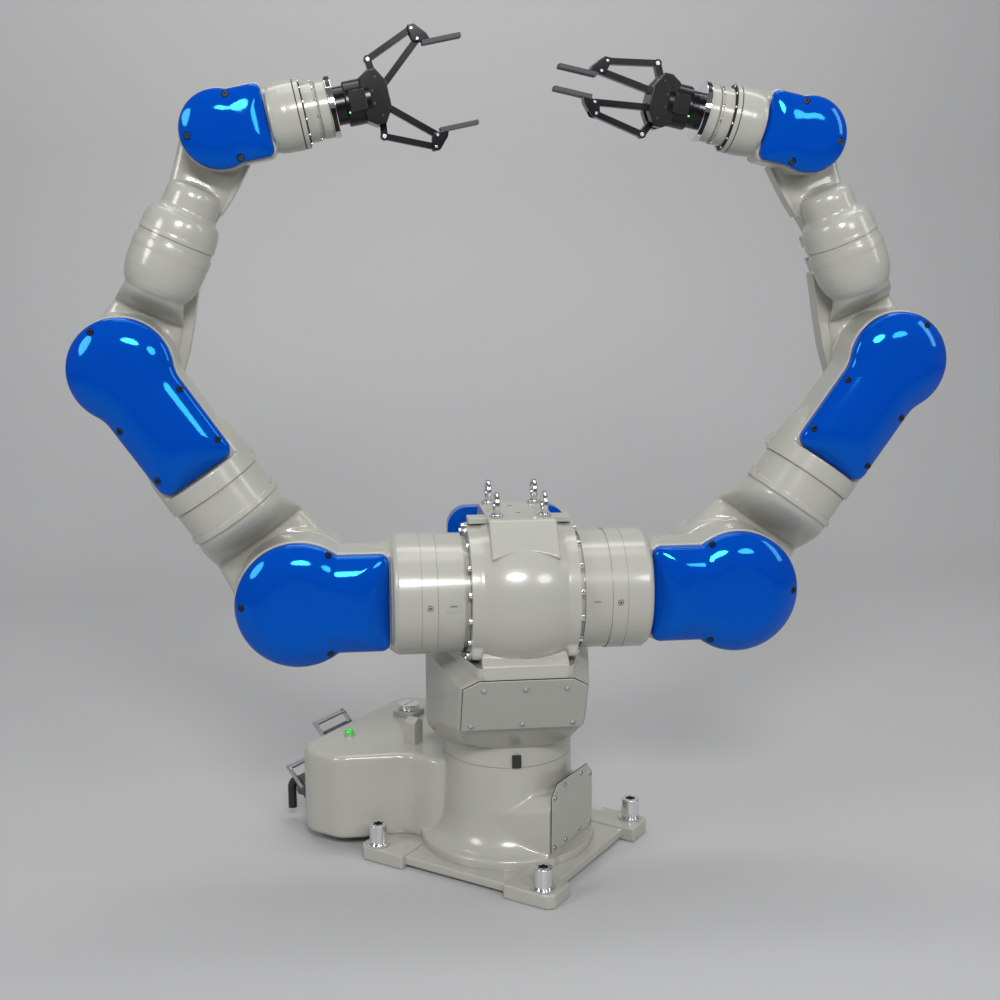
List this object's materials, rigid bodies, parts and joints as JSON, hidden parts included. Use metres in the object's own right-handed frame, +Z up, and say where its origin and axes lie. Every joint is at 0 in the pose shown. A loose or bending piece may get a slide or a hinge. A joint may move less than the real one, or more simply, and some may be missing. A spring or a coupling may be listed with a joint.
{
  "type": "dual-arm industrial robot",
  "caption": "Floor-standing dual-arm industrial robot with a turning torso, seven-axis arms with blue joint covers, and linkage grippers holding their finger pads parallel.",
  "frame": {"origin": "where the waist axis meets the floor, on the underside of the base", "axes": "+Z up along the waist axis, -Y out of the front that the blue arm covers face, +X towards the robot's arm on the viewer's right"},
  "size_m": [1.5014, 0.6426, 1.5082],
  "materials": {
    "grey_paint": "gloss",
    "blue_paint": "gloss",
    "bright_metal": "polished",
    "steel_levers": "satin",
    "black_metal": "satin",
    "pad_rubber": "matte",
    "hood_plastic": "matte",
    "black_rubber": "matte",
    "green_lens": "gloss"
  },
  "bodies": {
    "base": {"base_casting": "grey_paint", "base_side_cover": "grey_paint", "anchor_bolt_1": "bright_metal", "anchor_bolt_2": "bright_metal", "anchor_bolt_3": "bright_metal", "anchor_bolt_4": "bright_metal", "status_lamp": "green_lens", "maintenance_cap": "bright_metal", "connector_upper": "hood_plastic", "connector_lower": "hood_plastic", "cable_outlet": "black_rubber"},
    "latch_upper": {"latch_upper": "steel_levers"},
    "latch_lower": {"latch_lower": "steel_levers"},
    "torso": {"torso_housing": "grey_paint", "torso_front_cover": "grey_paint", "torso_rear_cover": "blue_paint", "travel_stop": "black_rubber", "eyebolt_1": "bright_metal", "eyebolt_2": "bright_metal", "eyebolt_3": "bright_metal", "eyebolt_4": "bright_metal"},
    "left_shoulder": {"left_shoulder_housing": "grey_paint", "left_shoulder_cover": "blue_paint"},
    "left_upper_arm_body": {"left_upper_arm": "grey_paint"},
    "left_elbow": {"left_elbow_housing": "grey_paint", "left_elbow_cover": "blue_paint"},
    "left_forearm": {"left_forearm_root": "grey_paint"},
    "left_forearm_end": {"left_forearm_tip": "grey_paint"},
    "left_wrist": {"left_wrist_housing": "grey_paint", "left_wrist_cover": "blue_paint"},
    "left_tool": {"left_tool_flange": "grey_paint", "left_coupling_plate": "bright_metal", "left_gripper_body": "black_metal"},
    "left_outer_link_1_body": {"left_outer_link_1": "black_metal"},
    "left_inner_bar_1_body": {"left_inner_bar_1": "black_metal"},
    "left_fingertip_1_body": {"left_fingertip_1": "pad_rubber"},
    "left_outer_link_2_body": {"left_outer_link_2": "black_metal"},
    "left_inner_bar_2_body": {"left_inner_bar_2": "black_metal"},
    "left_fingertip_2_body": {"left_fingertip_2": "pad_rubber"},
    "right_shoulder": {"right_shoulder_housing": "grey_paint", "right_shoulder_cover": "blue_paint"},
    "right_upper_arm_body": {"right_upper_arm": "grey_paint"},
    "right_elbow": {"right_elbow_housing": "grey_paint", "right_elbow_cover": "blue_paint"},
    "right_forearm": {"right_forearm_root": "grey_paint"},
    "right_forearm_end": {"right_forearm_tip": "grey_paint"},
    "right_wrist": {"right_wrist_housing": "grey_paint", "right_wrist_cover": "blue_paint"},
    "right_tool": {"right_tool_flange": "grey_paint", "right_coupling_plate": "bright_metal", "right_gripper_body": "black_metal"},
    "right_outer_link_1_body": {"right_outer_link_1": "black_metal"},
    "right_inner_bar_1_body": {"right_inner_bar_1": "black_metal"},
    "right_fingertip_1_body": {"right_fingertip_1": "pad_rubber"},
    "right_outer_link_2_body": {"right_outer_link_2": "black_metal"},
    "right_inner_bar_2_body": {"right_inner_bar_2": "black_metal"},
    "right_fingertip_2_body": {"right_fingertip_2": "pad_rubber"}
  },
  "joints": [
    {"name": "waist", "type": "hinge", "parent": "base", "child": "torso", "pos_m": [0, 0, 0.2045], "axis": [0, 0, 1], "range_deg": [-170, 170]},
    {"name": "latch_upper", "type": "hinge", "parent": "base", "child": "latch_upper", "pos_m": [-0.31261, 0.21759, 0.1527], "axis": [0.6157, 0.788, 0], "range_deg": [-25, 40]},
    {"name": "latch_lower", "type": "hinge", "parent": "base", "child": "latch_lower", "pos_m": [-0.37572, 0.13682, 0.088], "axis": [0.6157, 0.788, 0], "range_deg": [-25, 40]},
    {"name": "left_shoulder_turn", "type": "hinge", "parent": "torso", "child": "left_shoulder", "pos_m": [-0.385, -0.1475, 0.55], "axis": [1, 0, 0], "range_deg": [-180, 180]},
    {"name": "left_arm_lift", "type": "hinge", "parent": "left_shoulder", "child": "left_upper_arm_body", "pos_m": [-0.385, -0.1475, 0.55], "axis": [0, 1, 0], "range_deg": [-135, 10]},
    {"name": "left_arm_roll", "type": "hinge", "parent": "left_upper_arm_body", "child": "left_elbow", "pos_m": [-0.66254, -0.1475, 0.95382], "axis": [0.5664, 0, -0.8241], "range_deg": [-170, 170]},
    {"name": "left_elbow_bend", "type": "hinge", "parent": "left_elbow", "child": "left_forearm", "pos_m": [-0.66254, -0.1475, 0.95382], "axis": [0, 1, 0], "range_deg": [-160, 45]},
    {"name": "left_forearm_roll", "type": "hinge", "parent": "left_forearm", "child": "left_forearm_end", "pos_m": [-0.66254, -0.1475, 0.95382], "axis": [-0.4083, 0, -0.9128], "range_deg": [-180, 180]},
    {"name": "left_wrist_bend", "type": "hinge", "parent": "left_forearm_end", "child": "left_wrist", "pos_m": [-0.49104, -0.1475, 1.33721], "axis": [0, 1, 0], "range_deg": [-160, 50]},
    {"name": "left_tool_turn", "type": "hinge", "parent": "left_wrist", "child": "left_tool", "pos_m": [-0.49104, -0.1475, 1.33721], "axis": [-0.9781, 0, -0.2079], "range_deg": [-180, 180]},
    {"name": "left_finger_1", "type": "hinge", "parent": "left_tool", "child": "left_outer_link_1_body", "pos_m": [-0.22791, -0.1475, 1.36186], "axis": [0, 1, 0], "range_deg": [-41.4, 2.5]},
    {"name": "left_inner_1", "type": "hinge", "parent": "left_tool", "child": "left_inner_bar_1_body", "pos_m": [-0.22528, -0.1475, 1.38072], "axis": [0, 1, 0], "range_deg": [-41.4, 2.5]},
    {"name": "left_tip_1", "type": "hinge", "parent": "left_inner_bar_1_body", "child": "left_fingertip_1_body", "pos_m": [-0.1374, -0.1475, 1.333], "axis": [0, 1, 0], "range_deg": [-2.5, 41.4]},
    {"name": "left_finger_2", "type": "hinge", "parent": "left_tool", "child": "left_outer_link_2_body", "pos_m": [-0.24064, -0.1475, 1.42172], "axis": [0, 1, 0], "range_deg": [-2.5, 41.4]},
    {"name": "left_inner_2", "type": "hinge", "parent": "left_tool", "child": "left_inner_bar_2_body", "pos_m": [-0.23056, -0.1475, 1.40556], "axis": [0, 1, 0], "range_deg": [-2.5, 41.4]},
    {"name": "left_tip_2", "type": "hinge", "parent": "left_inner_bar_2_body", "child": "left_fingertip_2_body", "pos_m": [-0.16968, -0.1475, 1.4849], "axis": [0, 1, 0], "range_deg": [-41.4, 2.5]},
    {"name": "right_shoulder_turn", "type": "hinge", "parent": "torso", "child": "right_shoulder", "pos_m": [0.385, -0.1475, 0.55], "axis": [1, 0, 0], "range_deg": [-180, 180]},
    {"name": "right_arm_lift", "type": "hinge", "parent": "right_shoulder", "child": "right_upper_arm_body", "pos_m": [0.385, -0.1475, 0.55], "axis": [0, -1, 0], "range_deg": [-135, 10]},
    {"name": "right_arm_roll", "type": "hinge", "parent": "right_upper_arm_body", "child": "right_elbow", "pos_m": [0.66254, -0.1475, 0.95382], "axis": [0.5664, 0, 0.8241], "range_deg": [-170, 170]},
    {"name": "right_elbow_bend", "type": "hinge", "parent": "right_elbow", "child": "right_forearm", "pos_m": [0.66254, -0.1475, 0.95382], "axis": [0, -1, 0], "range_deg": [-160, 45]},
    {"name": "right_forearm_roll", "type": "hinge", "parent": "right_forearm", "child": "right_forearm_end", "pos_m": [0.66254, -0.1475, 0.95382], "axis": [-0.4083, 0, 0.9128], "range_deg": [-180, 180]},
    {"name": "right_wrist_bend", "type": "hinge", "parent": "right_forearm_end", "child": "right_wrist", "pos_m": [0.49104, -0.1475, 1.33721], "axis": [0, -1, 0], "range_deg": [-160, 50]},
    {"name": "right_tool_turn", "type": "hinge", "parent": "right_wrist", "child": "right_tool", "pos_m": [0.49104, -0.1475, 1.33721], "axis": [-0.9781, 0, 0.2079], "range_deg": [-180, 180]},
    {"name": "right_finger_1", "type": "hinge", "parent": "right_tool", "child": "right_outer_link_1_body", "pos_m": [0.22791, -0.1475, 1.36186], "axis": [0, -1, 0], "range_deg": [-8.3, 35.6]},
    {"name": "right_inner_1", "type": "hinge", "parent": "right_tool", "child": "right_inner_bar_1_body", "pos_m": [0.22528, -0.1475, 1.38072], "axis": [0, -1, 0], "range_deg": [-8.3, 35.6]},
    {"name": "right_tip_1", "type": "hinge", "parent": "right_inner_bar_1_body", "child": "right_fingertip_1_body", "pos_m": [0.1256, -0.1475, 1.38874], "axis": [0, -1, 0], "range_deg": [-35.6, 8.3]},
    {"name": "right_finger_2", "type": "hinge", "parent": "right_tool", "child": "right_outer_link_2_body", "pos_m": [0.24064, -0.1475, 1.42172], "axis": [0, -1, 0], "range_deg": [-35.6, 8.3]},
    {"name": "right_inner_2", "type": "hinge", "parent": "right_tool", "child": "right_inner_bar_2_body", "pos_m": [0.23056, -0.1475, 1.40556], "axis": [0, -1, 0], "range_deg": [-35.6, 8.3]},
    {"name": "right_tip_2", "type": "hinge", "parent": "right_inner_bar_2_body", "child": "right_fingertip_2_body", "pos_m": [0.13624, -0.1475, 1.43878], "axis": [0, -1, 0], "range_deg": [-8.3, 35.6]}
  ],
  "couplings": [
    {"joint": "left_inner_1", "follows": "left_finger_1", "ratio": 1},
    {"joint": "left_tip_1", "follows": "left_finger_1", "ratio": -1},
    {"joint": "left_finger_2", "follows": "left_finger_1", "ratio": -1},
    {"joint": "left_inner_2", "follows": "left_finger_1", "ratio": -1},
    {"joint": "left_tip_2", "follows": "left_finger_1", "ratio": 1},
    {"joint": "right_inner_1", "follows": "right_finger_1", "ratio": 1},
    {"joint": "right_tip_1", "follows": "right_finger_1", "ratio": -1},
    {"joint": "right_finger_2", "follows": "right_finger_1", "ratio": -1},
    {"joint": "right_inner_2", "follows": "right_finger_1", "ratio": -1},
    {"joint": "right_tip_2", "follows": "right_finger_1", "ratio": 1}
  ]
}
